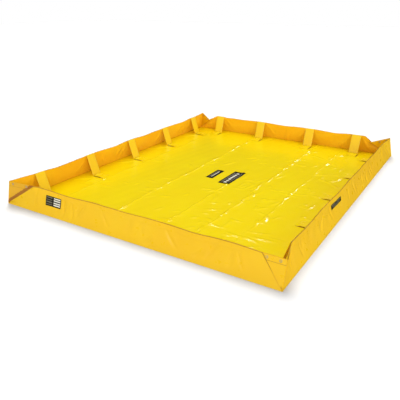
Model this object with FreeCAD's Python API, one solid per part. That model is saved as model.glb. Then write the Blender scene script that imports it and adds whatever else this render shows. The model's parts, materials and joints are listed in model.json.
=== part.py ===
import FreeCAD, Part
import math
import os

# Collapsible spill containment berm, in millimetres.
# +X runs along the front wall, +Y from the front to the back, +Z up.
# The origin is on the ground under the middle of the floor.

V = FreeCAD.Vector
INCH = 25.4

# Overall size
floor_width = 96 * INCH            # along X
floor_length = 120 * INCH          # along Y
wall_slant = 8 * INCH              # base fold to top fold, along the wall
brace_foot = 5 * INCH              # base fold to brace toe, along the floor
fabric = 1.2                       # coated fabric thickness

# Braces: a stiff plate in a fabric sleeve, hinged on the wall's top fold
brace_width = 4 * INCH
brace_thick = 5.0
sleeve_skin = 1.0
plate_gap = 0.2                    # play between plate and sleeve, each side
plate_margin = 4.0                 # sewn border of the sleeve beside the plate
side_brace_pitch = 24 * INCH       # left and right walls
side_brace_count = 5
front_brace_pitch = 22 * INCH
front_brace_count = 4
back_brace_places = (-838.0, -305.0, 315.0, 882.0)     # from the wall's middle, not quite even

# Clearances round the folds
floor_to_fold = 1.6                # floor edge to the wall's base fold
wall_top_gap = 3.0                 # wall edge to the brace's fold line
brace_top_gap = 8.0                # sleeve end to the brace's fold line
toe_clearance = 0.4                # sleeve toe above the floor sheet
wall_end_gap = 1.0                 # moving wall to fixed corner
brace_edge_margin = 2.0            # moving wall's end beyond its last sleeve

# Floor pockets in front of the brace toes
pocket_gap = 4.0                   # toe to pocket edge
pocket_reach = 110.0
pocket_overwidth = 10.0

# Wall trim
hem_height = 38.0
hem_thick = 1.0

# Blank marking panels: middle along the wall, middle up the wall, length, height
patch_thick = 0.5
front_patch = (-703.0, 121.0, 160.0, 80.0)
right_patch = (-387.0, 141.0, 235.0, 36.0)
# and on the floor: middle x, middle y, length along x, length along y
floor_patches = ((-115.0, 0.0, 75.0, 240.0), (75.0, -10.0, 115.0, 350.0))

# Corners. peak: the corner's highest point, inward along x, inward along y, and up.
# fold: where the pleat's fold meets the end wall's top edge, in the same order.
# grommets: their distances from the peak, along the top edge.
corners = {
    "front_left": {
        "right": False, "back": False, "outside": False,
        "peak": (35.0, 18.0, 199.0), "fold": (295.0, 62.0, 190.0), "grommets": (39.0, 174.0),
    },
    "front_right": {
        "right": True, "back": False, "outside": True,
        "peak": (1.0, 50.0, 191.0), "fold": (165.0, 60.0, 186.0), "grommets": (40.0, 130.0),
    },
    "back_left": {
        "right": False, "back": True, "outside": False,
        "peak": (38.0, 20.0, 199.0), "fold": (158.0, 45.0, 126.0), "grommets": (34.0, 104.0),
    },
    "back_right": {
        "right": True, "back": True, "outside": False,
        "peak": (40.0, 18.0, 199.0), "fold": (232.0, 52.0, 132.0), "grommets": (40.0, 112.0),
    },
}
pleat_thick = 2.0
pleat_tip_lift = 0.15              # the tip of the pleat stays clear of the floor
pleat_shrink = 0.03

# Grommets
grommet_bore_r = 4.76
grommet_barrel_r = 5.9
grommet_flange_r = 9.5
grommet_flange_thick = 0.8
grommet_hole_r = 6.2
grommet_washer_r = 6.0
grommet_from_top = 20.0
grommet_lift = 0.3                 # flange off the fabric
grommet_barrel_over = 3.7          # barrel past the end wall's outer face, to the inside

half_x = floor_width / 2
half_y = floor_length / 2
lean = math.acos(brace_foot / 2 / wall_slant)      # the wall's angle to the floor, on the inside
lean_degrees = math.degrees(lean)
fold_z = fabric / 2
fold_in = fabric / 2               # base fold line, inward from the outer edge
top_in = fold_in + wall_slant * math.cos(lean)
top_z = fold_z + wall_slant * math.sin(lean)
brace_len = (top_z - fabric - toe_clearance - brace_thick / 2 * math.cos(lean)) / math.sin(lean)
toe_in = top_in + brace_len * math.cos(lean) + brace_thick / 2 * math.sin(lean)


def brace_places(count, pitch):
    """Brace middles along a wall, measured from the wall's own middle."""
    return [(i - (count - 1) / 2) * pitch for i in range(count)]


def middle_half(places):
    """Half the length of a wall's moving stretch, just past its outermost braces."""
    return max(abs(x) for x in places) + brace_width / 2 + brace_edge_margin


front_places = brace_places(front_brace_count, front_brace_pitch)
side_places = brace_places(side_brace_count, side_brace_pitch)
front_half = middle_half(front_places)
back_half = middle_half(back_brace_places)
side_half = middle_half(side_places)

# name: (turn about Z, middle of the wall's outer edge, half length of the moving stretch, braces)
# In a wall's own frame, x runs along the wall, y points inward and z points up.
walls = {
    "front": (0, V(0, -half_y, 0), front_half, front_places),
    "right": (90, V(half_x, 0, 0), side_half, side_places),
    "back": (180, V(0, half_y, 0), back_half, back_brace_places),
    "left": (270, V(-half_x, 0, 0), side_half, side_places),
}


def to_world(shape, wall):
    """Put a shape made in a wall's own frame where that wall stands."""
    turn, middle, _, _ = walls[wall]
    stand = FreeCAD.Placement(middle, FreeCAD.Rotation(V(0, 0, 1), turn))
    shape.Placement = stand.multiply(shape.Placement)
    return shape


def slab(x0, x1, s0, s1, n0, n1, at_in, at_z, angle):
    """A flat strip along x. s runs away from the fold line at this angle, n across the strip."""
    box = Part.makeBox(x1 - x0, s1 - s0, n1 - n0, V(x0, s0, n0))
    box.rotate(V(0, 0, 0), V(1, 0, 0), angle)
    box.translate(V(0, at_in, at_z))
    return box


def wall_slab(x0, x1, s0, s1, n0, n1):
    """A strip lying on a leaning wall; n is positive outward."""
    return slab(x0, x1, s0, s1, n0, n1, fold_in, fold_z, lean_degrees)


def brace_slab(x0, x1, s0, s1, n0, n1):
    """A strip lying along a brace; s runs down from the wall's top fold."""
    return slab(x0, x1, s0, s1, n0, n1, top_in, top_z, -lean_degrees)


def wall_panel(wall):
    half = walls[wall][2]
    return to_world(wall_slab(-half, half, 0, wall_slant - wall_top_gap, -fabric / 2, fabric / 2), wall)


def wall_hem(wall):
    """The doubled band along the outside of a wall's top edge."""
    half = walls[wall][2]
    top = wall_slant - wall_top_gap
    return to_world(wall_slab(-half, half, top - hem_height, top, fabric / 2, fabric / 2 + hem_thick), wall)


def wall_patch(wall, patch):
    """A blank marking panel welded on a wall's outer face."""
    middle_x, middle_s, width, height = patch
    x0 = middle_x - width / 2
    s0 = middle_s - height / 2
    low = fabric / 2
    return to_world(wall_slab(x0, x0 + width, s0, s0 + height, low, low + patch_thick), wall)


def brace_sleeve(wall, x):
    """Fabric sleeve, closed at the toe and open at the top fold."""
    half = brace_width / 2
    outer = brace_slab(x - half, x + half, brace_top_gap, brace_len, -brace_thick / 2, brace_thick / 2)
    room = brace_thick / 2 - sleeve_skin
    inner_half = half - plate_margin
    open_end = brace_top_gap - 1
    inner = brace_slab(x - inner_half, x + inner_half, open_end, brace_len - plate_margin, -room, room)
    return to_world(outer.cut(inner), wall)


def brace_plate(wall, x):
    """Stiff plate inside the sleeve."""
    half = brace_width / 2 - plate_margin - plate_gap
    room = brace_thick / 2 - sleeve_skin - plate_gap
    s0 = brace_top_gap + plate_margin
    s1 = brace_len - plate_margin - plate_gap
    return to_world(brace_slab(x - half, x + half, s0, s1, -room, room), wall)


def floor_pocket(wall, x):
    """A fabric pocket welded on the floor just inside a brace's toe."""
    half = (brace_width + pocket_overwidth) / 2
    box = Part.makeBox(2 * half, pocket_reach, fabric, V(x - half, toe_in + pocket_gap, fabric))
    return to_world(box, wall)


def floor_sheet():
    """The floor, notched along the moving walls so that their base folds turn freely."""
    sheet = Part.makeBox(floor_width, floor_length, fabric, V(-half_x, -half_y, 0))
    depth = fold_in + floor_to_fold
    for wall in walls:
        half = walls[wall][2] + wall_end_gap
        notch = Part.makeBox(2 * half, depth, 3 * fabric, V(-half, 0, -fabric))
        sheet = sheet.cut(to_world(notch, wall))
    return sheet


def floor_patch(patch):
    """A blank marking panel welded on the middle of the floor."""
    x, y, width, depth = patch
    return Part.makeBox(width, depth, patch_thick, V(x - width / 2, y - depth / 2, fabric))


def solid_from_triangles(points, triangles):
    faces = []
    for names in triangles:
        loop = [points[name] for name in names]
        faces.append(Part.Face(Part.makePolygon(loop + [loop[0]])))
    shell = Part.makeShell(faces)
    shell.sewShape()
    solid = Part.makeSolid(shell)
    if solid.Volume < 0:
        solid.reverse()
    return solid


def corner_columns(corner):
    """Upright lines of a corner's fabric in order, from the side wall round to the end wall.

    Coordinates are (along the end wall, along the side wall, up) from the floor's corner.
    Each line is (outer foot, inner foot, outer top, inner top).
    """
    foot = fabric / math.sin(lean)
    reach = wall_slant - wall_top_gap
    mid_in = fold_in + reach * math.cos(lean)
    mid_z = fold_z + reach * math.sin(lean)
    out_in = mid_in - fabric / 2 * math.sin(lean)
    out_z = mid_z + fabric / 2 * math.cos(lean)
    in_in = mid_in + fabric / 2 * math.sin(lean)
    in_z = mid_z - fabric / 2 * math.cos(lean)
    side_end = half_y - side_half - wall_end_gap
    end_end = half_x - (back_half if corners[corner]["back"] else front_half) - wall_end_gap
    z = fabric
    peak = V(*corners[corner]["peak"])
    fold = V(*corners[corner]["fold"])
    return {
        "S": (V(0, side_end, z), V(foot, side_end, z),
              V(out_in, side_end, out_z), V(in_in, side_end, in_z)),
        "C": (V(0, 0, z), V(foot, foot, z), peak, peak + V(fabric, fabric, 0)),
        "P": (V(fold.x, 0, z), V(fold.x, foot, z), fold, fold + V(0, fabric, 0)),
        "E": (V(end_end, 0, z), V(end_end, foot, z), V(end_end, out_in, out_z), V(end_end, in_in, in_z)),
    }


def corner_shell(corner):
    """The fixed fabric round one corner, from the side wall to the end wall."""
    points = {}
    for column, lines in corner_columns(corner).items():
        for row, point in zip(("of", "if", "ot", "it"), lines):
            points[column + row] = point
    triangles = []
    for a, b in (("S", "C"), ("C", "P"), ("P", "E")):
        # The diagonal of each panel starts at the foot nearer the corner
        foot, top = (b, a) if a == "S" else (a, b)
        for side in ("o", "i"):
            triangles.append((foot + side + "f", top + side + "f", top + side + "t"))
            triangles.append((foot + side + "f", top + side + "t", foot + side + "t"))
        for row in ("f", "t"):
            triangles.append((a + "o" + row, b + "o" + row, b + "i" + row))
            triangles.append((a + "o" + row, b + "i" + row, a + "i" + row))
    for end in ("S", "E"):
        triangles.append((end + "of", end + "if", end + "it"))
        triangles.append((end + "of", end + "it", end + "ot"))
    return solid_from_triangles(points, triangles)


def pleat_plane(corner, outside):
    """Foot, peak, fold top and outward normal of the end wall's outer or inner face."""
    columns = corner_columns(corner)
    side = 0 if outside else 1
    foot = columns["C"][side]
    peak = columns["C"][side + 2]
    fold = columns["P"][side + 2]
    normal = (fold - foot).cross(peak - foot)
    normal.normalize()
    if normal.y > 0:
        normal = normal * -1
    return foot, peak, fold, normal


def corner_pleat(corner):
    """The doubled triangle of spare fabric folded flat against the end wall."""
    outside = corners[corner]["outside"]
    foot, peak, fold, normal = pleat_plane(corner, outside)
    foot = foot + ((peak + fold) * 0.5 - foot) * pleat_tip_lift
    centre = (foot + peak + fold) * (1 / 3)
    loop = [p + (centre - p) * pleat_shrink for p in (foot, peak, fold)]
    face = Part.Face(Part.makePolygon(loop + [loop[0]]))
    return face.extrude(normal * (pleat_thick if outside else -pleat_thick))


def grommet_centres(corner):
    """Grommet axes: a point on the outermost layer, and the outward normal."""
    _, peak, fold, normal = pleat_plane(corner, True)
    along = fold - peak
    along.normalize()
    down = along.cross(normal)
    if down.z > 0:
        down = down * -1
    start = peak + down * grommet_from_top
    if corners[corner]["outside"]:
        start = start + normal * pleat_thick
    return [(start + along * run, normal) for run in corners[corner]["grommets"]]


def ring(outer_r, inner_r, centre, axis, low, high):
    """A ring round an axis, between two distances along it."""
    start = centre + axis * low
    tube = Part.makeCylinder(outer_r, high - low, start, axis)
    return tube.cut(Part.makeCylinder(inner_r, high - low + 2, start - axis, axis))


def grommet(centre, axis):
    high = grommet_lift + grommet_flange_thick
    low = -grommet_barrel_over - grommet_flange_thick - grommet_lift
    barrel = ring(grommet_barrel_r, grommet_bore_r, centre, axis, low, high)
    flange = ring(grommet_flange_r, grommet_bore_r, centre, axis, grommet_lift, high)
    return barrel.fuse(flange).removeSplitter()


def washer(centre, axis):
    low = -grommet_barrel_over - grommet_flange_thick
    return ring(grommet_flange_r, grommet_washer_r, centre, axis, low, low + grommet_flange_thick)


def at_corner(shape, corner):
    """Move a shape from corner coordinates to its corner, mirrored as that corner needs."""
    shape = shape.copy()
    shape.translate(V(-half_x, -half_y, 0))
    if corners[corner]["right"]:
        shape = shape.mirror(V(0, 0, 0), V(1, 0, 0))
    if corners[corner]["back"]:
        shape = shape.mirror(V(0, 0, 0), V(0, 1, 0))
    return shape


def holed(shape, corner):
    """Cut the grommet holes through a layer of a corner."""
    reach = 4 * pleat_thick
    for centre, axis in grommet_centres(corner):
        shape = shape.cut(Part.makeCylinder(grommet_hole_r, 2 * reach, centre - axis * reach, axis))
    return shape


parts = {
    "floor_sheet": floor_sheet(),
    "floor_patches": Part.makeCompound([floor_patch(patch) for patch in floor_patches]),
    "floor_pockets": Part.makeCompound([floor_pocket(wall, x) for wall in walls for x in walls[wall][3]]),
    "front_wall_patch": wall_patch("front", front_patch),
    "right_wall_patch": wall_patch("right", right_patch),
}
for wall in walls:
    parts[wall + "_wall_panel"] = wall_panel(wall)
    parts[wall + "_wall_hem"] = wall_hem(wall)
    for i, x in enumerate(walls[wall][3]):
        parts["%s_brace_%d_sleeve" % (wall, i + 1)] = brace_sleeve(wall, x)
        parts["%s_brace_%d_plate" % (wall, i + 1)] = brace_plate(wall, x)

grommets = []
washers = []
for corner in corners:
    parts[corner + "_corner"] = at_corner(holed(corner_shell(corner), corner), corner)
    parts[corner + "_pleat"] = at_corner(holed(corner_pleat(corner), corner), corner)
    for centre, axis in grommet_centres(corner):
        grommets.append(at_corner(grommet(centre, axis), corner))
        washers.append(at_corner(washer(centre, axis), corner))
parts["corner_grommets"] = Part.makeCompound(grommets)
parts["grommet_washers"] = Part.makeCompound(washers)

os.makedirs("parts", exist_ok=True)
for name, shape in parts.items():
    shape.exportStep("parts/%s.step" % name)
print(len(parts), "nodes written")
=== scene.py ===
"""Collapsible spill containment berm: the visual model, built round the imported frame.

Metres throughout, in the frame's own axes: +X along the front wall, +Y to the back, +Z up.
"""

import json
import math

import bpy
import numpy as np
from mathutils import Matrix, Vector

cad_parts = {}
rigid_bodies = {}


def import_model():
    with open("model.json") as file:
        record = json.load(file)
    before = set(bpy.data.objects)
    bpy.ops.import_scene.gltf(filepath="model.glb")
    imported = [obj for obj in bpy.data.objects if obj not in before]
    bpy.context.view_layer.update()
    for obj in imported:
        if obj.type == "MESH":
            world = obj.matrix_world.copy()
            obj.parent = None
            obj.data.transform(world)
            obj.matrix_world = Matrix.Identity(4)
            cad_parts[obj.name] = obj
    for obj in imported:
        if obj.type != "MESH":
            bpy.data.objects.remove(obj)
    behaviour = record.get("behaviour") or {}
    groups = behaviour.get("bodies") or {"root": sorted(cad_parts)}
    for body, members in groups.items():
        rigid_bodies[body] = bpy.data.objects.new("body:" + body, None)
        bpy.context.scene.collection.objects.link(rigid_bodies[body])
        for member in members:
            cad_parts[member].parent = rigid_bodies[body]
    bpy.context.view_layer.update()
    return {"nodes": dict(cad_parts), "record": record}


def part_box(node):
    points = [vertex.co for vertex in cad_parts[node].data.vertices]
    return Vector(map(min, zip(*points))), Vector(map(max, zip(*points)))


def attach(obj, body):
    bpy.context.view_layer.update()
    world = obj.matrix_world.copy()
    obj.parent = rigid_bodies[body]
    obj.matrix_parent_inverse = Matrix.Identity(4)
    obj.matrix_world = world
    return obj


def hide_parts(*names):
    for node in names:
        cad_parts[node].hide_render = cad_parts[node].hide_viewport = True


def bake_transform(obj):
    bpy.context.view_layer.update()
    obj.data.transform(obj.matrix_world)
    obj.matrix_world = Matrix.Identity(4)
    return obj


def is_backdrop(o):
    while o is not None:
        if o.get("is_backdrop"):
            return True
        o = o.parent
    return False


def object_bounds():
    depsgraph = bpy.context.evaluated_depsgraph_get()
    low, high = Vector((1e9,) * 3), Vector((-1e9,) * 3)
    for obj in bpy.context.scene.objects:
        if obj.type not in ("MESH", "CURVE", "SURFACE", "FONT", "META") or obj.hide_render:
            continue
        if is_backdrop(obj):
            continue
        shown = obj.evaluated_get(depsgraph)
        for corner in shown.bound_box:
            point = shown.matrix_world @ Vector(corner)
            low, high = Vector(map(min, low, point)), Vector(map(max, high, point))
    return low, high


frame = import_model()

# ---------------------------------------------------------------- sizes
FABRIC = 0.0012
SLANT = 0.2032  # base fold to top fold, up the wall
LEAN = math.acos(2.5 / 8)  # the wall's angle to the floor: half the 5 in brace foot over the 8 in slant
FOLD = 0.0006  # base fold line, inward and up
REACH = SLANT - 0.0008
TOP_IN = FOLD + REACH * math.cos(LEAN)
TOP_Z = FOLD + REACH * math.sin(LEAN)
HINGE_IN = FOLD + SLANT * math.cos(LEAN)
HINGE_Z = FOLD + SLANT * math.sin(LEAN)
HEM_THICK = 0.001
BRACE_HALF = 0.0508
BRACE_LEN = 0.2013
BRACE_THICK = 0.005
TOE_IN = 0.1294
POCKET_GAP = 0.004
POCKET_REACH = 0.110
POCKET_HALF = 0.0558
HEM_LINE = 0.806  # the hem's lower weld, as a share of the wall's height
EYELET_HOLE = 0.0061  # radius
LAID_RISE = 0.0205  # slope at which a wall folded right down still leaves the ground
FOLD_OVER, FOLD_UNDER = 0.0140, -0.0012  # how proud the folded edge is over an inside or outside pleat
HALF_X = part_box("floor_sheet")[1].x
HALF_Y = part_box("floor_sheet")[1].y
FRONT_BRACES = [(i - 1.5) * 0.5588 for i in range(4)]
BACK_BRACES = [-0.838, -0.305, 0.315, 0.882]
SIDE_BRACES = [(i - 2) * 0.6096 for i in range(5)]
FRONT_HALF = FRONT_BRACES[-1] + BRACE_HALF + 0.002
BACK_HALF = BACK_BRACES[-1] + BRACE_HALF + 0.002
SIDE_HALF = SIDE_BRACES[-1] + BRACE_HALF + 0.002

# Turn about Z, middle of the outer edge, half length, half the moving stretch, braces,
# and the corners at its two ends
WALLS = {
    "front": (0, (0, -HALF_Y), HALF_X, FRONT_HALF, FRONT_BRACES, ("front_left", "front_right")),
    "right": (90, (HALF_X, 0), HALF_Y, SIDE_HALF, SIDE_BRACES, ("front_right", "back_right")),
    "back": (180, (0, HALF_Y), HALF_X, BACK_HALF, BACK_BRACES, ("back_right", "back_left")),
    "left": (270, (-HALF_X, 0), HALF_Y, SIDE_HALF, SIDE_BRACES, ("back_left", "front_left")),
}
# Sign of x, sign of y, pleat outside, peak and fold as (inward along x, inward along y, up)
CORNERS = {
    "front_left": (-1, -1, False, (0.035, 0.018, 0.199), (0.295, 0.062, 0.190)),
    "front_right": (1, -1, True, (0.001, 0.050, 0.191), (0.165, 0.060, 0.186)),
    "back_left": (-1, 1, False, (0.038, 0.020, 0.199), (0.158, 0.045, 0.126)),
    "back_right": (1, 1, False, (0.040, 0.018, 0.199), (0.232, 0.052, 0.132)),
}
ROWS = np.concatenate([np.linspace(0, 0.79, 22), [HEM_LINE, 0.814], np.linspace(0.84, 1, 6)])


# ---------------------------------------------------------------- small tools
def smooth(t):
    t = np.clip(t, 0, 1)
    return t * t * (3 - 2 * t)


def unit(v):
    return v / np.maximum(np.linalg.norm(v, axis=-1, keepdims=True), 1e-12)


def grid_faces(n, m, start=0, flip=False):
    """Quads over an n by m grid of vertices, numbered from start."""
    i, j = np.meshgrid(np.arange(n - 1), np.arange(m - 1), indexing="ij")
    a = start + i * m + j
    quads = np.stack([a, a + m, a + m + 1, a + 1], -1).reshape(-1, 4)
    return quads[:, ::-1] if flip else quads


def build(name, points, faces, materials, picks=None, flat=()):
    """A mesh object. picks gives each face's material, and flat the faces shaded flat."""
    mesh = bpy.data.meshes.new(name)
    mesh.from_pydata(np.asarray(points, float).tolist(), [], [list(map(int, f)) for f in faces])
    shade = np.ones(len(mesh.polygons), bool)
    shade[list(flat)] = False
    mesh.polygons.foreach_set("use_smooth", shade)
    for material in materials:
        mesh.materials.append(material)
    if picks is not None:
        mesh.polygons.foreach_set("material_index", np.asarray(picks, np.int32))
    mesh.update()
    piece = bpy.data.objects.new(name, mesh)
    bpy.context.scene.collection.objects.link(piece)
    return piece


def rim_loop(n, m):
    """Grid vertex numbers round the edge of an n by m grid, counterclockwise."""
    return (
        [i * m for i in range(n)]
        + [(n - 1) * m + j for j in range(1, m)]
        + [i * m + m - 1 for i in range(n - 2, -1, -1)]
        + [j for j in range(m - 2, 0, -1)]
    )


def sheet_faces(n, m):
    """Faces of a closed sheet: its front grid, its back grid, and the rim. Also the rim's vertex pairs."""
    count = n * m
    loop = rim_loop(n, m)
    pairs = list(zip(loop, loop[1:] + loop[:1]))
    faces = list(map(tuple, grid_faces(n, m))) + list(map(tuple, grid_faces(n, m, count, True)))
    return faces + [(b, a, a + count, b + count) for a, b in pairs], pairs


def shell(name, front, back, materials, front_picks=None, back_pick=0, top_pick=0, normals=None):
    """A closed thin piece from its front and back grids of points.

    The picks give the materials of the front's faces, the back, and the rim along the last row.
    """
    n, m = front.shape[:2]
    faces, pairs = sheet_faces(n, m)
    side = (n - 1) * (m - 1)
    picks = list(front_picks) if front_picks is not None else [0] * side
    picks += [back_pick] * side
    picks += [top_pick if a % m == b % m == m - 1 else 0 for a, b in pairs]
    points = np.concatenate([front.reshape(-1, 3), back.reshape(-1, 3)])
    piece = build(name, points, faces, materials, picks, range(2 * side, len(faces)))
    if normals is not None:
        both = np.concatenate([g.reshape(-1, 3) for g in normals])
        piece.data.normals_split_custom_set_from_vertices(both.tolist())
    return piece


def grid_normals(points):
    """Unit normals of a grid of points, from its own slopes."""
    return unit(np.cross(np.gradient(points, axis=0), np.gradient(points, axis=1)))


def crease_field(x, y, creases):
    """Height at (x, y) from creases of (x0, y0, x1, y1, width, height)."""
    total = np.zeros_like(x)
    for x0, y0, x1, y1, width, height in creases:
        dx, dy = x1 - x0, y1 - y0
        length = math.hypot(dx, dy)
        t = ((x - x0) * dx + (y - y0) * dy) / length**2
        off = ((x - x0) * dy - (y - y0) * dx) / length
        bow = 0.06 * length * np.sin(np.pi * np.clip(t, 0, 1))
        near = (np.abs(off) < 5 * width + abs(0.06 * length)) & (t > 0) & (t < 1)
        if near.any():
            ends = np.sin(np.pi * t[near]) ** 1.2
            total[near] += height * ends * np.exp(-(((off[near] - bow[near]) / width) ** 2))
    return total


def waves(rng, x, y, count, shortest, longest):
    """Gentle random undulation between about -1 and 1."""
    total = np.zeros_like(x)
    for _ in range(count):
        size = rng.uniform(shortest, longest)
        way = rng.uniform(0, math.pi)
        phase = rng.uniform(0, 2 * math.pi)
        total += np.sin(2 * math.pi * (x * math.cos(way) + y * math.sin(way)) / size + phase)
    return total / math.sqrt(count)


# ---------------------------------------------------------------- materials
def new_material(name):
    material = bpy.data.materials.new(name)
    material.use_nodes = True
    nodes = material.node_tree.nodes
    shader = next(n for n in nodes if n.type == "BSDF_PRINCIPLED")
    return material, nodes, material.node_tree.links, shader


def coated_fabric(name, pale, deep, roughness=0.36, crumple=0.5, weave=0.06):
    """Vinyl-coated woven fabric: tonal drift, scuffs, a fine weave and soft crumples."""
    material, nodes, links, shader = new_material(name)
    place = nodes.new("ShaderNodeTexCoord")

    drift = nodes.new("ShaderNodeTexNoise")
    drift.inputs["Scale"].default_value = 2.3
    drift.inputs["Detail"].default_value = 5.0
    drift.inputs["Roughness"].default_value = 0.62
    links.new(place.outputs["Object"], drift.inputs["Vector"])
    tone = nodes.new("ShaderNodeValToRGB")
    tone.color_ramp.elements[0].position = 0.34
    tone.color_ramp.elements[0].color = (*deep, 1)
    tone.color_ramp.elements[1].position = 0.66
    tone.color_ramp.elements[1].color = (*pale, 1)
    links.new(drift.outputs["Fac"], tone.inputs["Fac"])
    links.new(tone.outputs["Color"], shader.inputs["Base Color"])

    scuff = nodes.new("ShaderNodeTexNoise")
    scuff.inputs["Scale"].default_value = 21.0
    scuff.inputs["Detail"].default_value = 6.0
    links.new(place.outputs["Object"], scuff.inputs["Vector"])
    gloss = nodes.new("ShaderNodeMapRange")
    gloss.inputs["From Min"].default_value = 0.3
    gloss.inputs["From Max"].default_value = 0.7
    gloss.inputs["To Min"].default_value = roughness - 0.05
    gloss.inputs["To Max"].default_value = roughness + 0.06
    links.new(scuff.outputs["Fac"], gloss.inputs["Value"])
    links.new(gloss.outputs["Result"], shader.inputs["Roughness"])

    threads = []
    for axis in ("X", "Y", "Z"):
        thread = nodes.new("ShaderNodeTexWave")
        thread.bands_direction = axis
        thread.inputs["Scale"].default_value = 190.0
        thread.inputs["Distortion"].default_value = 0.4
        links.new(place.outputs["Object"], thread.inputs["Vector"])
        threads.append(thread)
    pair = nodes.new("ShaderNodeMath")
    links.new(threads[0].outputs["Fac"], pair.inputs[0])
    links.new(threads[1].outputs["Fac"], pair.inputs[1])
    cloth = nodes.new("ShaderNodeMath")
    links.new(pair.outputs[0], cloth.inputs[0])
    links.new(threads[2].outputs["Fac"], cloth.inputs[1])
    fine = nodes.new("ShaderNodeBump")
    fine.inputs["Strength"].default_value = weave
    fine.inputs["Distance"].default_value = 0.0003
    links.new(cloth.outputs[0], fine.inputs["Height"])

    folds = nodes.new("ShaderNodeTexNoise")
    folds.inputs["Scale"].default_value = 13.0
    folds.inputs["Detail"].default_value = 4.0
    folds.inputs["Distortion"].default_value = 0.7
    links.new(place.outputs["Object"], folds.inputs["Vector"])
    coarse = nodes.new("ShaderNodeBump")
    coarse.inputs["Strength"].default_value = crumple
    coarse.inputs["Distance"].default_value = 0.004
    links.new(folds.outputs["Fac"], coarse.inputs["Height"])
    links.new(fine.outputs["Normal"], coarse.inputs["Normal"])
    links.new(coarse.outputs["Normal"], shader.inputs["Normal"])
    shader.inputs["Specular IOR Level"].default_value = 0.36
    return material


def print_ink(name, colour, worn, roughness):
    """Printed film: an even colour with faint wear."""
    material, nodes, links, shader = new_material(name)
    place = nodes.new("ShaderNodeTexCoord")
    wear = nodes.new("ShaderNodeTexNoise")
    wear.inputs["Scale"].default_value = 60.0
    wear.inputs["Detail"].default_value = 5.0
    links.new(place.outputs["Object"], wear.inputs["Vector"])
    tone = nodes.new("ShaderNodeValToRGB")
    tone.color_ramp.elements[0].position = 0.55
    tone.color_ramp.elements[0].color = (*colour, 1)
    tone.color_ramp.elements[1].position = 0.8
    tone.color_ramp.elements[1].color = (*worn, 1)
    links.new(wear.outputs["Fac"], tone.inputs["Fac"])
    links.new(tone.outputs["Color"], shader.inputs["Base Color"])
    bump = nodes.new("ShaderNodeBump")
    bump.inputs["Strength"].default_value = 0.2
    bump.inputs["Distance"].default_value = 0.0005
    links.new(wear.outputs["Fac"], bump.inputs["Height"])
    links.new(bump.outputs["Normal"], shader.inputs["Normal"])
    shader.inputs["Roughness"].default_value = roughness
    shader.inputs["Specular IOR Level"].default_value = 0.15
    return material


def eyelet_metal():
    """Plated eyelet metal with fine scratches and dull patches."""
    material, nodes, links, shader = new_material("eyelet_metal")
    place = nodes.new("ShaderNodeTexCoord")
    mottle = nodes.new("ShaderNodeTexNoise")
    mottle.inputs["Scale"].default_value = 240.0
    mottle.inputs["Detail"].default_value = 4.0
    links.new(place.outputs["Object"], mottle.inputs["Vector"])
    tone = nodes.new("ShaderNodeValToRGB")
    tone.color_ramp.elements[0].color = (0.42, 0.36, 0.24, 1)
    tone.color_ramp.elements[1].color = (0.74, 0.67, 0.50, 1)
    links.new(mottle.outputs["Fac"], tone.inputs["Fac"])
    links.new(tone.outputs["Color"], shader.inputs["Base Color"])
    gloss = nodes.new("ShaderNodeMapRange")
    gloss.inputs["To Min"].default_value = 0.22
    gloss.inputs["To Max"].default_value = 0.5
    links.new(mottle.outputs["Fac"], gloss.inputs["Value"])
    links.new(gloss.outputs["Result"], shader.inputs["Roughness"])
    shader.inputs["Metallic"].default_value = 0.55
    return material


def stage_material():
    material, nodes, links, shader = new_material("studio_floor")
    place = nodes.new("ShaderNodeTexCoord")
    grain = nodes.new("ShaderNodeTexNoise")
    grain.inputs["Scale"].default_value = 3.0
    links.new(place.outputs["Object"], grain.inputs["Vector"])
    tone = nodes.new("ShaderNodeValToRGB")
    tone.color_ramp.elements[0].color = (0.44, 0.44, 0.44, 1)
    tone.color_ramp.elements[1].color = (0.46, 0.46, 0.46, 1)
    links.new(grain.outputs["Fac"], tone.inputs["Fac"])
    links.new(tone.outputs["Color"], shader.inputs["Base Color"])
    shader.inputs["Roughness"].default_value = 0.9
    shader.inputs["Specular IOR Level"].default_value = 0.1
    shader.inputs["Emission Color"].default_value = (1, 1, 1, 1)
    shader.inputs["Emission Strength"].default_value = 0.10
    return material


# Name, pale and deep tone, roughness, crumple and weave
# floor_cloth is a paler, more lemon copy of the wall cloth: painted light, the floor's brighter lighting
# put in its colour
floor_cloth = coated_fabric("floor_cloth", (0.90, 0.70, 0.0015), (0.89, 0.665, 0.0015), 0.18, 0.14, 0.05)
wall_cloth = coated_fabric("wall_cloth", (0.91, 0.56, 0.006), (0.90, 0.52, 0.005), 0.31, 0.16)
sleeve_cloth = coated_fabric("sleeve_cloth", (0.86, 0.57, 0.004), (0.84, 0.53, 0.003), 0.40, 0.2)
# The walls' inner faces: a more orange copy of the wall cloth, painted shade and yellow bounce light
inner_shade_cloth = coated_fabric("inner_shade_cloth", (0.93, 0.53, 0.012), (0.92, 0.47, 0.010), 0.40, 0.2)
# fold_shade: painted shade, the dark brown of the crevice under the inside corners' folded edges
fold_shade = coated_fabric("fold_shade", (0.46, 0.17, 0.008), (0.36, 0.12, 0.006), 0.5, 0.2)
# Painted shade: a deeper amber copy of the wall cloth for the recessed gusset triangles
gusset_shade_cloth = coated_fabric("gusset_shade_cloth", (0.80, 0.43, 0.010), (0.74, 0.37, 0.008), 0.38, 0.3)
# slit_shade: painted shade, the dark inside of the pocket openings
slit_shade = coated_fabric("slit_shade", (0.36, 0.10, 0.004), (0.24, 0.06, 0.004), 0.7, 0.1)
# Dark brown cloth: painted shade along the walls' top edges, also used for a dark band on the corner
# pieces' hem row
edge_shade_and_hem_cloth = coated_fabric("edge_shade_and_hem_cloth", (0.66, 0.34, 0.008), (0.52, 0.25, 0.008), 0.5, 0.2)
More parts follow.
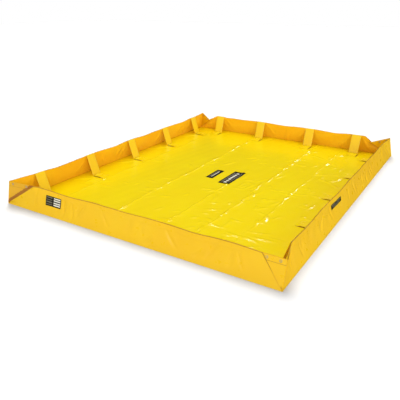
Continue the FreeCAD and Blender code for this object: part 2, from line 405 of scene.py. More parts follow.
# Nearly the floor's lemon tone: the same painted floor light
pocket_cloth = coated_fabric("pocket_cloth", (0.90, 0.68, 0.002), (0.89, 0.64, 0.002), 0.26, 0.16)
plate_plastic = print_ink("plate_plastic", (0.32, 0.32, 0.31), (0.40, 0.40, 0.38), 0.5)
ink_dark = print_ink("ink_dark", (0.012, 0.010, 0.008), (0.05, 0.04, 0.02), 0.35)
ink_light = print_ink("ink_light", (0.82, 0.80, 0.66), (0.70, 0.64, 0.40), 0.4)
ink_mid = print_ink("ink_mid", (0.17, 0.16, 0.11), (0.28, 0.24, 0.10), 0.4)
metal = eyelet_metal()

for node_name, node in frame["nodes"].items():
    node.data.materials.clear()
    node.data.materials.append(plate_plastic if node_name.endswith("_plate") else wall_cloth)


# ---------------------------------------------------------------- walls
def to_world(wall, points):
    """From a wall's own frame (x along it, y inward, z up) to the row frame."""
    turn, middle = math.radians(WALLS[wall][0]), WALLS[wall][1]
    c, s = math.cos(turn), math.sin(turn)
    p = np.asarray(points, float)
    x = p[..., 0] * c - p[..., 1] * s + middle[0]
    y = p[..., 0] * s + p[..., 1] * c + middle[1]
    return np.stack([x, y, p[..., 2]], -1)


def corner_lines(wall, corner):
    """Foot and top of the corner, pleat fold and moving edge, as (along, inward, up)."""
    _, _, _, peak, fold = CORNERS[corner]
    _, _, length, half, _, _ = WALLS[wall]
    if wall in ("left", "right"):
        peak = (peak[1], peak[0], peak[2])
    lines = {
        "C": ((FOLD, FOLD, FOLD), (peak[0] + FOLD, peak[1] + FOLD, peak[2])),
        "P": ((fold[0], FOLD, FOLD), (fold[0], fold[1] + FOLD, fold[2])),
        "E": ((length - half, FOLD, FOLD), (length - half, TOP_IN, TOP_Z)),
    }
    return {k: (np.array(a), np.array(b)) for k, (a, b) in lines.items()}


def panel(a, b, us, rows):
    """A panel creased from the foot of line a to the top of line b."""
    (foot_a, top_a), (foot_b, top_b) = a, b
    u, v = np.meshgrid(us, rows, indexing="ij")
    u, v = u[..., None], v[..., None]
    low = foot_a + u * (foot_b - foot_a) + v * (top_b - foot_b)
    high = foot_a + v * (top_a - foot_a) + u * (top_b - top_a)
    return np.where(v > u, high, low)


def end_columns(wall, corner):
    """Columns from the corner to the moving stretch: points, share of height, share of the fold."""
    lines = corner_lines(wall, corner)
    if wall in ("left", "right"):
        points = panel(lines["C"], lines["E"], np.linspace(0, 1, 30), ROWS)
        share = np.broadcast_to(ROWS, points.shape[:2]).copy()
        return points, share, np.zeros(points.shape[:2])
    us = np.linspace(0.03, 1, 24)
    (foot_c, _), (foot_p, top_p) = lines["C"], lines["P"]
    u, t = np.meshgrid(us, ROWS, indexing="ij")
    fan = foot_c + u[..., None] * (foot_p - foot_c) + (u * t)[..., None] * (top_p - foot_p)
    fan_edge = smooth((t - 0.5) / 0.5) * smooth(u / 0.2)
    count = max(8, int((lines["E"][0][0] - lines["P"][0][0]) / 0.007))
    on = np.linspace(0, 1, count)[1:]
    rest = panel(lines["P"], lines["E"], on, ROWS)
    v = np.broadcast_to(ROWS, rest.shape[:2])
    gap = on[:, None] * (lines["E"][0][0] - lines["P"][0][0])
    rest_edge = smooth((v - 0.5) / 0.5) * (1 - smooth(gap / 0.05))
    return (
        np.concatenate([fan, rest]),
        np.concatenate([u * t, v]),
        np.concatenate([fan_edge, rest_edge]),
    )


def wall_grid(wall):
    """The whole wall's middle surface and normals, with where its moving stretch starts and ends."""
    turn, _, length, half, braces, corners = WALLS[wall]
    rng = np.random.default_rng(100 + turn)
    near, near_share, near_edge = end_columns(wall, corners[0])
    far, far_share, far_edge = end_columns(wall, corners[1])
    near[..., 0] = near[..., 0] - length
    far[..., 0] = length - far[..., 0]
    xs = np.linspace(-half, half, int(2 * half / 0.0095))
    u, v = np.meshgrid(xs[1:-1], ROWS, indexing="ij")
    middle = np.stack([u, FOLD + v * (TOP_IN - FOLD), FOLD + v * (TOP_Z - FOLD)], -1)
    grid = np.concatenate([near, middle, far[::-1]])
    share = np.concatenate([near_share, v, far_share[::-1]])
    edge = np.concatenate([near_edge, np.zeros_like(v), far_edge[::-1]])
    first, last = len(near) - 1, len(near) + len(middle)

    # Soften the diagonal creases, away from the folded edges
    soft = grid.copy()
    for _ in range(2):
        soft[1:-1] = 0.25 * soft[:-2] + 0.5 * soft[1:-1] + 0.25 * soft[2:]
    hold = (edge.max(axis=1) > 0.01)[:, None, None]
    soft[0], soft[-1] = grid[0], grid[-1]
    grid = np.where(hold, grid, soft)

    x, s = grid[..., 0], share * SLANT
    held = np.zeros_like(x)
    sag = np.zeros_like(x)
    for b in braces:
        held = np.maximum(held, np.exp(-(((x - b) / 0.07) ** 2)))
    for a, b in zip(braces[:-1], braces[1:]):
        inside = (x > a) & (x < b)
        depth = rng.uniform(0.004, 0.009)
        skew = rng.uniform(0.8, 1.3)
        t = np.clip((x - a) / (b - a), 0, 1) ** skew
        sag += np.where(inside, depth * np.sin(np.pi * t) ** 2, 0)
    if wall == "left":
        sag += 0.006 * np.exp(-(((x - 0.93) / 0.16) ** 2))
    fade = smooth((length - np.abs(x)) / 0.16)
    swell = waves(rng, x, s, 6, 0.18, 0.7) * 0.0066
    ripple = waves(rng, x, s * 0.5, 7, 0.07, 0.2) * 0.0011
    rise = share**0.8
    out = (swell * (1 - 0.6 * held * rise) + ripple) * rise * fade
    out += 0.004 * np.sin(np.pi * share) * fade * (0.5 + 0.5 * waves(rng, x, s, 3, 0.5, 1.3))
    out -= 0.0055 * np.sin(np.pi * share) * fade
    creases = []
    for _ in range(int(length * 7)):
        x0 = rng.uniform(-length + 0.05, length - 0.05)
        s0 = rng.uniform(0.0, 0.06)
        lean_x = rng.normal(0, 0.06)
        rise_s = rng.uniform(0.08, 0.14)
        width = rng.uniform(0.010, 0.024)
        creases.append((x0, s0, x0 + lean_x, s0 + rise_s, width, rng.uniform(-0.0075, -0.0008)))
    for b in braces:
        for side in (-1, 1):
            # The cloth is drawn tight from each brace's head down to the base
            top = b + side * rng.uniform(0.035, 0.06)
            low = top + side * rng.uniform(0.03, 0.16)
            creases.append((top, 0.197, low, 0.03, 0.011, -rng.uniform(0.0025, 0.0060)))
    if wall == "front":
        creases += [(-0.60, 0.0, -0.59, 0.203, 0.011, -0.010), (-0.50, 0.0, -0.515, 0.17, 0.011, -0.008)]
    if wall == "back":
        creases += [(-0.03, 0.005, -0.03, 0.2, 0.006, -0.004), (0.02, 0.0, -0.03, 0.07, 0.012, -0.005)]
    out += crease_field(x, s, creases) * fade * smooth(share / 0.06)
    hem = HEM_THICK * smooth((share - HEM_LINE) / 0.008)
    lip = 0.0006 * np.exp(-(((share - 0.802) / 0.012) ** 2)) + 0.0009 * smooth((share - 0.97) / 0.03)
    # Bulges stop where they would meet the ground with the wall folded right down
    most = 0.0003 + LAID_RISE * s - hem - lip
    out = most - 0.0009 * np.logaddexp(0, (most - out) / 0.0009)
    proud = [FOLD_UNDER if CORNERS[c][2] else FOLD_OVER for c in corners]
    out += np.where(x < 0, *proud) * edge
    grid = grid + grid_normals(grid) * out[..., None]
    grid[..., 2] -= sag * share**2 * fade
    grid[..., 2] = np.maximum(grid[..., 2], FOLD)
    normal = grid_normals(grid)
    roll = 0.0010 * smooth((edge - 0.85) / 0.15)
    front = to_world(wall, grid + normal * (FABRIC / 2 + hem + lip + roll)[..., None])
    back = to_world(wall, grid - normal * (FABRIC / 2 + roll)[..., None])
    made = {"grid": grid, "normal": normal, "first": first, "last": last, "front": front, "back": back}
    made["normals"] = (grid_normals(front), -grid_normals(back))
    return made


def wall_piece(name, made, low, high):
    """One stretch of a wall as a closed sheet, sharing its edges and shading with its neighbours."""
    cut = slice(low, high + 1)
    normals = [g[cut] for g in made["normals"]]
    picks = np.zeros((high - low, len(ROWS) - 1), int)
    # The top row and the top rim take the dark edge cloth: painted shade along the wall's top edge
    picks[:, -1] = 1
    materials = [wall_cloth, edge_shade_and_hem_cloth, inner_shade_cloth]
    # The back, the wall's inner face, takes the more orange inner cloth: painted shade and bounce light
    return shell(name, made["front"][cut], made["back"][cut], materials, picks.ravel(), 2, 1, normals)


made_walls = {}
for wall, (_, _, length, half, _, corners) in WALLS.items():
    made = made_walls[wall] = wall_grid(wall)
    piece = wall_piece(wall + "_wall_fabric", made, made["first"], made["last"])
    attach(piece, wall + "_wall")
    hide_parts(wall + "_wall_panel", wall + "_wall_hem")
    count = len(made["grid"])
    for corner, low, high, sign in (
        (corners[0], 0, made["first"], -1),
        (corners[1], made["last"], count - 1, 1),
    ):
        end = wall_piece(f"{corner}_{wall}_end", made, low, high)
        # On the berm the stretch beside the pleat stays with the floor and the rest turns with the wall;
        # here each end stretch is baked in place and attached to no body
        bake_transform(end)
        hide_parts(corner + "_corner")


# ---------------------------------------------------------------- corners
def at_corner(corner, points):
    """From corner coordinates (inward along x, inward along y, up) to the row frame."""
    right, back = CORNERS[corner][:2]
    p = np.asarray(points, float)
    return np.stack([right * (HALF_X - p[..., 0]), back * (HALF_Y - p[..., 1]), p[..., 2]], -1)


def hole_places(corner):
    return [
        (np.array(m["pos_m"]), np.array(m["axis"]))
        for m in frame["record"]["mounts"]
        if m["name"].startswith(corner + "_grommet")
    ]


def punch(piece, corner):
    """Cut the corner's two eyelet holes through a sheet."""
    points, faces = [], []
    for place, axis in hole_places(corner):
        side = unit(np.cross(axis, [0, 0, 1.0]))
        up = np.cross(side, axis)
        turn = np.linspace(0, 2 * math.pi, 24, endpoint=False)
        ring = EYELET_HOLE * (np.cos(turn)[:, None] * side + np.sin(turn)[:, None] * up)
        base = len(points)
        points += list(place - 0.02 * axis + ring) + list(place + 0.02 * axis + ring)
        around = [(i, (i + 1) % 24) for i in range(24)]
        faces += [(base + i, base + k, base + 24 + k, base + 24 + i) for i, k in around]
        faces += [tuple(range(base + 23, base - 1, -1)), tuple(range(base + 24, base + 48))]
    tool = build("punch", points, faces, [])
    cut = piece.modifiers.new("punch", "BOOLEAN")
    cut.object = tool
    cut.operation = "DIFFERENCE"
    cut.solver = "EXACT"
    graph = bpy.context.evaluated_depsgraph_get()
    result = bpy.data.meshes.new_from_object(piece.evaluated_get(graph))
    piece.modifiers.clear()
    old, piece.data = piece.data, result
    bpy.data.meshes.remove(old)
    bpy.data.objects.remove(tool)


def triangle_grid(corner, v_values, w_values):
    """Points on the corner's upper triangle: v up from the foot, w from the peak line to the fold."""
    _, _, _, peak, fold = CORNERS[corner]
    foot = np.array([FOLD, FOLD, FOLD])
    peak = np.array(peak) + (FOLD, FOLD, 0)
    fold = np.array(fold) + (0, FOLD, 0)
    v, w = np.meshgrid(v_values, w_values, indexing="ij")
    points = foot + v[..., None] * ((peak - foot) + w[..., None] * (fold - peak))
    normal = unit(np.cross(fold - foot, peak - foot))
    if normal[1] > 0:
        normal = -normal
    return points, normal, v, w


def corner_pieces(corner):
    right, back, outside, peak, fold = CORNERS[corner]
    flip = right * back < 0
    v_values = np.concatenate([np.linspace(0.03, 0.77, 20), [0.796, 0.816], np.linspace(0.835, 1, 6)])
    w_values = np.concatenate([np.linspace(0, 0.84, 16), np.linspace(0.86, 1.06, 18)])
    points, normal, v, w = triangle_grid(corner, v_values, w_values)
    weld = 0.0005 * np.exp(-(((v - HEM_LINE) / 0.012) ** 2))
    front = points + normal * (FABRIC / 2 + weld)[..., None]
    under = points - normal * FABRIC / 2
    sides = [at_corner(corner, g) for g in (front, under)]
    # Painted shade: gusset faces near the folded edge take the dark fold_shade cloth, for the shadow in the
    # crevice under the fold
    line = unit(np.array(fold) + (0, FOLD, 0) - FOLD)
    off = np.linalg.norm(np.cross(points - FOLD, line), axis=-1)
    off = (off[1:, 1:] + off[:-1, :-1]) / 2
    picks = np.where((off < 0.030) & (not outside), 1, 0)
    # The hem row takes the dark edge cloth, a dark band along the hem weld line
    picks[20, :] = 2
    if not flip:
        sides = [g[::-1] for g in sides]
        picks = picks[::-1]
    # The gusset's cloth is painted shade for the recess, and fold_shade painted shade in the crevice
    materials = [gusset_shade_cloth, fold_shade, edge_shade_and_hem_cloth]
    face = shell(corner + "_gusset", sides[0], sides[1], materials, picks.ravel())
    punch(face, corner)
    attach(face, "floor")
    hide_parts(corner + "_corner")

    # The spare triangle: doubled cloth, folded flat inside or outside the end wall
    v_values = np.concatenate([np.linspace(0.12, 0.77, 17), [0.796, 0.816], np.linspace(0.835, 0.985, 5)])
    w_values = np.concatenate([[0.02, 0.03, 0.045], np.linspace(0.07, 0.93, 18), [0.955, 0.97, 0.98]])
    points, normal, v, w = triangle_grid(corner, v_values, w_values)
    side = 1 if outside else -1
    round_w = np.clip(np.minimum(w - 0.015, 0.985 - w) / 0.05, 0, 1)
    half_thick = 0.0009 * np.sqrt(np.clip(1 - (1 - round_w) ** 2, 0.04, 1))
    bulge = 0.0006 * np.exp(-(((w - 0.95) / 0.03) ** 2)) * v
    bulge = bulge + 0.0006 * smooth((v - HEM_LINE) / 0.01)
    lift = side * (FABRIC / 2 + 0.0011) + (0.0004 * smooth((w - 0.55) / 0.4) if outside else 0)
    front = points + normal * (lift + half_thick + bulge)[..., None]
    under = points + normal * (lift - half_thick)[..., None]
    sides = [at_corner(corner, g) for g in (front, under)]
    picks = np.zeros((len(v_values) - 1, len(w_values) - 1), int)
    # The hem row takes the dark edge cloth, a dark band along the hem weld line
    picks[17, :] = 1
    if not flip:
        sides = [g[::-1] for g in sides]
        picks = picks[::-1]
    flap = shell(corner + "_flap", sides[0], sides[1], [wall_cloth, edge_shade_and_hem_cloth], picks.ravel())
    punch(flap, corner)
    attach(flap, "floor")
    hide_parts(corner + "_pleat")

    # The fold that stands up the corner itself
    foot, top = np.array([FOLD, FOLD, FOLD]), np.array(peak) + (FOLD, FOLD, 0)
    ts = np.concatenate([[0.0, 0.004], np.linspace(0.02, 0.985, 24), [0.995, 1.0]])
    radius = 0.0016 * np.sqrt(np.clip(1 - ((ts - 0.5) * 2) ** 40, 0.02, 1))
    turn = np.linspace(0, 2 * math.pi, 12, endpoint=False)
    way = unit(top - foot)
    side_a = unit(np.cross(way, [1.0, -1.0, 0]))
    side_b = np.cross(way, side_a)
    rings = []
    for t, r in zip(ts, radius):
        middle = foot + t * (top - foot)
        rings.append(middle + r * (np.cos(turn)[:, None] * side_a + np.sin(turn)[:, None] * side_b))
    ring_points = at_corner(corner, np.array(rings))
    n, m = ring_points.shape[:2]
    faces = []
    for i in range(n - 1):
        for j in range(m):
            a, b = i * m + j, i * m + (j + 1) % m
            faces.append((a, b, b + m, a + m))
    faces += [tuple(range(m - 1, -1, -1)), tuple(range((n - 1) * m, n * m))]
    if flip:
        faces = [f[::-1] for f in faces]
    bead = build(corner + "_edge_fold", ring_points.reshape(-1, 3), faces, [wall_cloth])
    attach(bead, "floor")


for corner in CORNERS:
    corner_pieces(corner)


# ---------------------------------------------------------------- eyelets
def lathe(place, axis, profile, segments=32):
    """A ring turned about an axis, from a closed profile of (radius, height) points."""
    side = unit(np.cross(axis, [0, 0, 1.0]))
    up = np.cross(side, axis)
    turn = np.linspace(0, 2 * math.pi, segments, endpoint=False)
    round_it = np.cos(turn)[:, None] * side + np.sin(turn)[:, None] * up
    points = [place + h * axis + r * round_it for r, h in profile]
    count = len(profile)
    faces = []
    for i in range(count):
        k = (i + 1) % count
        for j in range(segments):
            nxt = (j + 1) % segments
            faces.append((i * segments + j, i * segments + nxt, k * segments + nxt, k * segments + j))
    return np.concatenate(points), faces


def join(parts):
    points, faces, base = [], [], 0
    for p, f in parts:
        points.append(p)
        faces += [tuple(int(i) + base for i in face) for face in f]
        base += len(p)
    return np.concatenate(points), faces


# Profiles from the middle of the barrel: a rolled face with its barrel, and a flat ring behind
ROLLED = [
    (0.0048, -0.0040), (0.0048, 0.0022), (0.0052, 0.0030), (0.0062, 0.0034), (0.0076, 0.0033),
    (0.0089, 0.0028), (0.0095, 0.0021), (0.0090, 0.0018), (0.0076, 0.0020), (0.0062, 0.0018),
    (0.0058, 0.0010), (0.0058, -0.0040),
]
FLAT_RING = [
    (EYELET_HOLE, -0.0026), (0.0090, -0.0024), (0.0095, -0.0028), (0.0093, -0.0033), (0.0078, -0.0036),
    (EYELET_HOLE, -0.0034),
]
rolled, rings = [], []
for corner in CORNERS:
    for place, axis in hole_places(corner):
        rolled.append(lathe(place, axis, ROLLED))
        rings.append(lathe(place, axis, FLAT_RING))
for name, parts, node in (
    ("eyelets", rolled, "corner_grommets"),
    ("eyelet_rings", rings, "grommet_washers"),
):
    piece = build(name, *join(parts), [metal])
    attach(piece, "floor")
    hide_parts(node)


# ---------------------------------------------------------------- floor
def brace_spots():
    """Each brace's wall, number and place along the wall."""
    for wall, (_, _, _, _, braces, _) in WALLS.items():
        for i, b in enumerate(braces):
            yield wall, i + 1, b


def floor_mask(x, y):
    """1 where the floor may rise, falling to 0 at its edges and under toes and pockets."""
    mask = smooth((HALF_X - np.abs(x) - 0.012) / 0.05) * smooth((HALF_Y - np.abs(y) - 0.012) / 0.05)
    for wall, _, b in brace_spots():
        turn, middle = math.radians(WALLS[wall][0]), WALLS[wall][1]
        c, s = math.cos(turn), math.sin(turn)
        along = (x - middle[0]) * c + (y - middle[1]) * s
        inward = -(x - middle[0]) * s + (y - middle[1]) * c
        beside = np.maximum(np.abs(along - b) - POCKET_HALF - 0.006, 0)
        far = inward - TOE_IN - POCKET_GAP - POCKET_REACH - 0.018
        beyond = np.maximum(np.maximum(0.07 - inward, far), 0)
        mask = mask * smooth(np.hypot(beside, beyond) / 0.03)
    return mask


# Fold lines that stay in the sheet from being packed: place, from, to, strength
LONG_FOLDS = [
    (-0.35, -1.36, 1.40, 1.0), (0.40, -1.38, 1.38, 1.0), (0.105, -1.40, 0.15, 0.8),
    (0.70, -1.25, 1.30, 0.55), (-0.93, -1.2, 1.25, 0.5),
]


def floor_creases():
    rng = np.random.default_rng(7)
    creases = []
    for place, y0, y1, strength in LONG_FOLDS:
        y = y0
        while y < y1:
            reach = rng.uniform(0.12, 0.34)
            shift = rng.normal(0, 0.006)
            height = strength * rng.uniform(0.0048, 0.0086)
            x = place + shift
            creases.append((x, y, x + rng.normal(0, 0.008), y + reach, 0.0075, height))
            creases.append((x, y, x, y + reach, 0.045, height * 0.55))
            y += reach * rng.uniform(0.55, 0.80)
    # Short wrinkles, more of them to the right and at the front
    count = 0
    while count < 170:
        x, y = rng.uniform(-1.1, 1.12), rng.uniform(-1.4, 1.4)
        if rng.uniform() > 0.10 + 0.55 * (x > 0.1) + 0.25 * (y < -0.3):
            continue
        way = rng.choice([rng.normal(1.45, 0.25), rng.normal(0.25, 0.3), rng.uniform(0, math.pi)])
        reach = rng.uniform(0.05, 0.24)
        dx, dy = reach * math.cos(way), reach * math.sin(way)
        creases.append((x, y, x + dx, y + dy, rng.uniform(0.007, 0.012), rng.uniform(0.0034, 0.0072)))
        count += 1
    # Buckles that run from the walls' feet to the brace toes
    for b in SIDE_BRACES:
        for side in (-1, 1):
            near = side * (HALF_X - 0.03)
            toe = side * (HALF_X - TOE_IN - 0.05)
            creases.append((near, b - 0.22 - rng.uniform(0, 0.05), toe, b - 0.085, 0.014, 0.007))
    for side, braces in ((-1, FRONT_BRACES), (1, BACK_BRACES)):
        for b in braces:
            near = side * (HALF_Y - 0.03)
            toe = side * (HALF_Y - TOE_IN - 0.06)
            creases.append((-side * b + 0.19, near, -side * b + 0.085, toe, 0.013, 0.005))
    return creases


FLOOR_CREASES = floor_creases()


def floor_height(x, y):
    rng = np.random.default_rng(12)
    rise = 0.0022 * (1 + waves(rng, x, y, 7, 0.35, 1.1)) * 0.5
    rise += 0.0009 * (1 + waves(rng, x, y, 6, 0.10, 0.26)) * 0.5
    rise += crease_field(x, y, FLOOR_CREASES)
    return FABRIC + np.maximum(rise, 0) * floor_mask(x, y)


def graded(low, high, step, fine_at, fine_step):
    """Grid lines, closer together round the long folds."""
    lines = [low]
    while lines[-1] < high - 1e-6:
        near = min(abs(lines[-1] - f) for f in fine_at)
        lines.append(min(high, lines[-1] + (fine_step if near < 0.022 else step)))
    return np.array(lines)


xs = graded(-HALF_X + FOLD, HALF_X - FOLD, 0.0105, [fold[0] for fold in LONG_FOLDS], 0.0045)
ys = np.linspace(-HALF_Y + FOLD, HALF_Y - FOLD, 290)
gx, gy = np.meshgrid(xs, ys, indexing="ij")
top = np.stack([gx, gy, floor_height(gx, gy)], -1)
n, m = top.shape[:2]
loop = rim_loop(n, m)
flat_points = top.reshape(-1, 3)
low_rim = flat_points[loop] * (1, 1, 0)
points = np.concatenate([flat_points, low_rim, [[0, 0, 0]]])
top_faces = grid_faces(n, m)
first, centre = n * m, n * m + len(loop)
rim = []
for i, a in enumerate(loop):
    k = (i + 1) % len(loop)
    rim.append((loop[k], a, first + i, first + k))
base = [(first + (i + 1) % len(loop), first + i, centre) for i in range(len(loop))]
faces = [tuple(f) for f in top_faces] + rim + base
floor_piece = build(
    "floor_fabric", points, faces, [floor_cloth], None, range(len(top_faces), len(faces))
)
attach(floor_piece, "floor")
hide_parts("floor_sheet")


# ---------------------------------------------------------------- floor pockets
SLIT = (4, 16)
slit_u, slit_t = np.meshgrid(*(np.linspace(0, 1, count) for count in SLIT), indexing="ij")


def side_slit(x0, x1, y0, y1):
    """A dark strip of painted shade for the opening along a pocket's side, narrowing to its ends in y."""
    waist = np.sin(np.pi * (0.06 + 0.88 * slit_t)) ** 0.5
    return (x0 + x1) / 2 + (slit_u - 0.5) * (x1 - x0) * waist, y0 + slit_t * (y1 - y0)


def mouth_slit(x0, x1, y0, y1):
    """A dark strip of painted shade for the opening along a pocket's mouth, narrowing to its ends in x."""
    waist = np.sin(np.pi * (0.1 + 0.8 * slit_u))
    return x0 + slit_u * (x1 - x0), (y0 + y1) / 2 + (slit_t - 0.5) * (y1 - y0) * waist


pocket_parts, pocket_picks = [], []
for wall, _, b in brace_spots():
    us = np.concatenate([[-1, -0.985, -0.95, -0.9], np.linspace(-0.8, 0.8, 11), [0.9, 0.95, 0.985, 1]])
    ts = np.concatenate([[0, 0.01, 0.04, 0.09], np.linspace(0.16, 0.9, 9), [0.95, 0.985, 1]])
    u, t = np.meshgrid(us, ts, indexing="ij")
    x = b + u * POCKET_HALF
    y = TOE_IN + POCKET_GAP + t * POCKET_REACH
    # The edge beside the toe, and one side, stand open
    open_side = {"front": 1, "back": -1, "left": 1, "right": -1}[wall]
    side = np.clip(1 - (1 - open_side * u) / 0.32, 0, 1)
    mouth = np.clip(1 - t / 0.16, 0, 1) * np.cos(u * 1.35)
    weld = 0.0005 * np.exp(-(((np.abs(u) - 0.88) / 0.04) ** 2))
    lift = 0.0052 * side**1.6 * (1 - smooth((t - 0.75) / 0.25)) + 0.0042 * mouth**1.5
    z = FABRIC + 0.0004 + lift + weld
    base_points = to_world(wall, np.stack([x, y, z], -1))
    upper = base_points + (0, 0, 0.0010)
    pocket_faces = sheet_faces(*u.shape)[0]
    pocket_parts.append((np.concatenate([upper.reshape(-1, 3), base_points.reshape(-1, 3)]), pocket_faces))
    pocket_picks += [0] * len(pocket_faces)
    # Painted shade: dark strips on the floor under its lifted edges, for the shade in the openings
    edge_x = b + open_side * POCKET_HALF
    for turned, (sx, sy) in (
        (open_side < 0, side_slit(edge_x - open_side * 0.002, edge_x + open_side * 0.006, 0.004, 0.124)),
        (False, mouth_slit(b - 0.044, b + 0.044, -0.0035, 0.0015)),
    ):
        strip = np.stack([sx, TOE_IN + POCKET_GAP + sy, np.full_like(sx, FABRIC + 0.0007)], -1)
        strip = to_world(wall, strip)
        if turned:
            strip = strip[::-1]
        under = strip - (0, 0, 0.0005)
        slit_faces = sheet_faces(*SLIT)[0]
        pocket_parts.append((np.concatenate([strip.reshape(-1, 3), under.reshape(-1, 3)]), slit_faces))
        pocket_picks += [1] * len(slit_faces)
pockets = build("floor_pocket_patches", *join(pocket_parts), [pocket_cloth, slit_shade], pocket_picks)
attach(pockets, "floor")
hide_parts("floor_pockets")


# ---------------------------------------------------------------- brace sleeves
def brace_sleeve(wall, number, b):
    """A flat fabric sleeve round the stiff plate, thin at the top fold and at its welded sides."""
    rng = np.random.default_rng(500 + WALLS[wall][0] + number)
    half = BRACE_HALF
    across = np.array([-1, -0.985, -0.93, -0.905, -0.88, -0.8, -0.6, -0.4, -0.2, 0])
    across = np.concatenate([across, -across[-2::-1]]) * half
    head, foot = [0.0, 0.0012, 0.003, 0.006, 0.009, 0.012, 0.017], [0.192, 0.1955, 0.198, 0.2]
    down = np.concatenate([head, np.linspace(0.025, 0.185, 17), foot])
    x, s = np.meshgrid(across, down, indexing="ij")
    full = BRACE_THICK / 2
    body = smooth((half - np.abs(x) - 0.0035) / 0.0030)
    headed = smooth((s - 0.0015) / 0.0065)
    toe = smooth((BRACE_LEN - 0.0015 - s) / 0.003)
    thick = 0.0006 + (full - 0.0006) * body * headed * (0.35 + 0.65 * toe)
    crown = 0.0006 * body * headed * (1 - (x / half) ** 2)
    pucker = 0.00028 * waves(rng, x, s, 5, 0.02, 0.06) * body * headed
    ridge = 0.0004 * np.exp(-(((half - np.abs(x) - 0.0016) / 0.0011) ** 2))
    # The head flares a little where it is welded along the wall's top edge
    flare = 1 + 0.035 * (1 - smooth(s / 0.016))
    n_dir = np.array([0, math.sin(LEAN), math.cos(LEAN)])
    middle = np.stack(
        [b + x * flare, HINGE_IN + s * math.cos(LEAN), HINGE_Z - s * math.sin(LEAN)], -1
    )
    upper = to_world(wall, middle + n_dir * (thick + crown + pucker + ridge)[..., None])
    lower = to_world(wall, middle - n_dir * (thick + ridge * 0.5)[..., None])
    # The grid runs across then down, so its own front is the side that faces inboard and up
    piece = shell(f"{wall}_brace_{number}_cover", upper[::-1], lower[::-1], [sleeve_cloth])
    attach(piece, f"{wall}_brace_{number}")
    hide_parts(f"{wall}_brace_{number}_sleeve")


for wall, number, b in brace_spots():
    brace_sleeve(wall, number, b)


# ---------------------------------------------------------------- blank marking panels
def block_picks(columns, rows, blocks):
    """Material of each cell: 0 dark, or the block's own, for blocks (x0, x1, y0, y1, pick)."""
    u, v = np.meshgrid((np.arange(columns) + 0.5) / columns, (np.arange(rows) + 0.5) / rows, indexing="ij")
    picks = np.zeros((columns, rows), int)
    for x0, x1, y0, y1, pick in blocks:
        picks[(u > x0) & (u < x1) & (v > y0) & (v < y1)] = pick
    return picks.ravel()


FORM_BLOCKS = [(0.04, 0.44, y, y + 0.10, 2) for y in (0.12, 0.35, 0.58, 0.81)]
FORM_BLOCKS += [(0.52, 0.96, y - 0.01, y + 0.12, 1) for y in (0.12, 0.35, 0.58, 0.81)]
SIDE_BLOCKS = [(0.06, 0.94, 0.60, 0.84, 2), (0.16, 0.84, 0.20, 0.42, 2), (0.40, 0.60, 0.64, 0.80, 0)]
SMALL_BLOCKS = [(0.22, 0.36, 0.10, 0.90, 2), (0.52, 0.64, 0.16, 0.84, 1)]
LARGE_BLOCKS = [(0.38, 0.62, 0.09 + 0.12 * i, 0.17 + 0.12 * i, 1) for i in range(7)]
LARGE_BLOCKS += [(0.14, 0.24, 0.10, 0.90, 2), (0.78, 0.86, 0.10, 0.90, 2)]


def wall_mark(wall, node, middle_x, middle_s, width, height, blocks):
    """A blank printed panel that follows the wall's surface."""
    made = made_walls[wall]
    cut = slice(made["first"], made["last"] + 1)
    grid = made["grid"][cut] + made["normal"][cut] * (FABRIC / 2 + 0.0004)
    columns = np.linspace(0, 1, 45)
    rows = np.linspace(0, 1, 25)
    half = WALLS[wall][3]
    at_x = (middle_x + (columns - 0.5) * width + half) / (2 * half) * (len(grid) - 1)
    at_s = np.interp((middle_s + (rows - 0.5) * height) / SLANT, ROWS, np.arange(len(ROWS)))
    i, j = np.floor(at_x).astype(int), np.floor(at_s).astype(int)
    fx, fs = (at_x - i)[:, None, None], (at_s - j)[None, :, None]
    low = grid[np.ix_(i, j)] * (1 - fx) + grid[np.ix_(i + 1, j)] * fx
    high = grid[np.ix_(i, j + 1)] * (1 - fx) + grid[np.ix_(i + 1, j + 1)] * fx
    points = low * (1 - fs) + high * fs
    normal = grid_normals(points)
    front = to_world(wall, points + normal * 0.0005)
    back = to_world(wall, points)
    piece = shell(node + "_print", front, back, [ink_dark, ink_light, ink_mid], block_picks(44, 24, blocks))
    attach(piece, wall + "_wall")
    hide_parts(node)


wall_mark("front", "front_wall_patch", -0.703, 0.121, 0.160, 0.080, FORM_BLOCKS)
wall_mark("right", "right_wall_patch", -0.387, 0.141, 0.235, 0.036, SIDE_BLOCKS)

for index, (x, y, width, depth, blocks) in enumerate(
    ((-0.115, 0.0, 0.075, 0.240, SMALL_BLOCKS), (0.075, -0.010, 0.115, 0.350, LARGE_BLOCKS))
):
    u, v = np.meshgrid(
        x + (np.linspace(0, 1, 25) - 0.5) * width, y + (np.linspace(0, 1, 61) - 0.5) * depth, indexing="ij"
    )
    # Clear of the floor's own facets by taking the highest floor nearby
    near = (-0.008, 0, 0.008)
    rise = np.max([floor_height(u + dx, v + dy) for dx in near for dy in near], axis=0)
    front = np.stack([u, v, rise + 0.0007], -1)
    back = np.stack([u, v, rise + 0.0001], -1)
    piece = shell(
        f"floor_print_{index + 1}", front, back, [ink_dark, ink_light, ink_mid], block_picks(24, 60, blocks)
    )
    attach(piece, "floor")
    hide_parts("floor_patches")


# ---------------------------------------------------------------- studio
def plane(name, half, z, material):
    steps = np.linspace(-half, half, 9)
    px, py = np.meshgrid(steps, steps, indexing="ij")
    points = np.stack([px, py, np.full_like(px, z)], -1).reshape(-1, 3)
    return build(name, points, grid_faces(9, 9), [material])


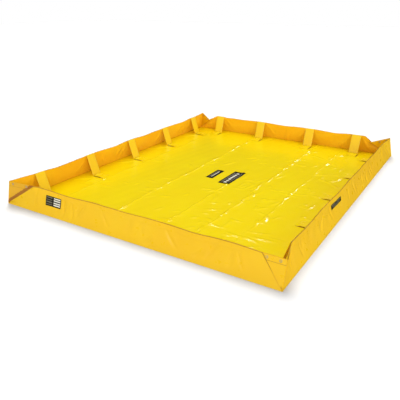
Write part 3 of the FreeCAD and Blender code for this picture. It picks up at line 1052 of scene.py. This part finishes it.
ground = plane("studio_ground", 30.0, -0.0004, stage_material())
ground.visible_glossy = False
ground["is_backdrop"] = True


def area_light(name, place, aim, size, power, colour=(1, 1, 1)):
    data = bpy.data.lights.new(name, "AREA")
    data.shape = "RECTANGLE"
    data.size, data.size_y = size
    data.energy = power
    data.color = colour
    lamp = bpy.data.objects.new(name, data)
    bpy.context.scene.collection.objects.link(lamp)
    lamp.location = place
    way = np.array(aim, float) - np.array(place, float)
    flat = math.hypot(way[0], way[1])
    lamp.rotation_euler = (math.pi / 2 + math.atan2(way[2], flat), 0, math.atan2(-way[0], way[1]))
    return lamp


def sun_light(name, towards, energy, softness, only=()):
    """A sun. If only is given, it lights those objects and no others."""
    data = bpy.data.lights.new(name, "SUN")
    data.energy = energy
    data.angle = math.radians(softness)
    lamp = bpy.data.objects.new(name, data)
    lamp.rotation_euler = Vector(towards).to_track_quat("Z", "Y").to_euler()
    lamp.visible_glossy = False
    bpy.context.scene.collection.objects.link(lamp)
    if only:
        lit = bpy.data.collections.new(name + "_lit")
        for piece in only:
            lit.objects.link(piece)
        lamp.light_linking.receiver_collection = lit
    return lamp


# Strips seen only as highlights, placed so that creases catch them and the flat floor doesn't
for strip in (
    area_light("back_strip", (0.5, 7.7, 5.5), (0, 0, 0), (0.6, 2.2), 90),
    area_light("left_strip", (-2.5, 3.5, 6.5), (0, 0, 0), (1.6, 0.7), 60),
    area_light("front_strip", (-0.3, -6.6, 2.4), (0, -1.5, 0.1), (0.14, 1.6), 30),
):
    strip.visible_diffuse = False

inner = [
    o for o in bpy.data.objects
    if o.name.endswith("_cover") or o.name.startswith(("left_wall_fabric", "back_wall_fabric"))
    or o.name.endswith(("_left_end", "_back_end"))
]
sun_light("top_sun", (-0.1, 0.1, 1.0), 0.85, 60)
sun_light("front_fill", (0.75, -0.55, 0.40), 0.50, 24)
sun_light("inner_fill", (0.6, -0.7, 0.20), 1.15, 60, inner)
sun_light("ground_sun", (-0.30, 0.42, 0.75), 4.3, 30, [ground])

world = bpy.data.worlds.new("studio")
world.use_nodes = True
sky = world.node_tree.nodes
place = sky.new("ShaderNodeTexCoord")
split = sky.new("ShaderNodeSeparateXYZ")
rise = sky.new("ShaderNodeValToRGB")
rise.color_ramp.elements[0].position = 0.10
rise.color_ramp.elements[0].color = (1, 1, 1, 1)
rise.color_ramp.elements[1].position = 0.80
rise.color_ramp.elements[1].color = (0.80, 0.80, 0.80, 1)
world.node_tree.links.new(place.outputs["Generated"], split.inputs["Vector"])
world.node_tree.links.new(split.outputs["Z"], rise.inputs["Fac"])
world.node_tree.links.new(rise.outputs["Color"], sky["Background"].inputs["Color"])
# A dim room in reflections, so that the strips alone make the highlights
rays = sky.new("ShaderNodeLightPath")
level = sky.new("ShaderNodeMapRange")
level.inputs["To Min"].default_value = 1.00
level.inputs["To Max"].default_value = 0.03
world.node_tree.links.new(rays.outputs["Is Glossy Ray"], level.inputs["Value"])
world.node_tree.links.new(level.outputs["Result"], sky["Background"].inputs["Strength"])
bpy.context.scene.world = world
bpy.context.scene.view_settings.view_transform = "Standard"

camera_data = bpy.data.cameras.new("camera")
camera_data.lens = 41.73
camera_data.sensor_width = 36
camera = bpy.data.objects.new("camera", camera_data)
camera.location = (2.0064, -3.6872, 1.5352)
camera.rotation_euler = (math.radians(90 - 23.04), 0, math.radians(31.91))
bpy.context.scene.collection.objects.link(camera)
bpy.context.scene.camera = camera

low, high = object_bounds()
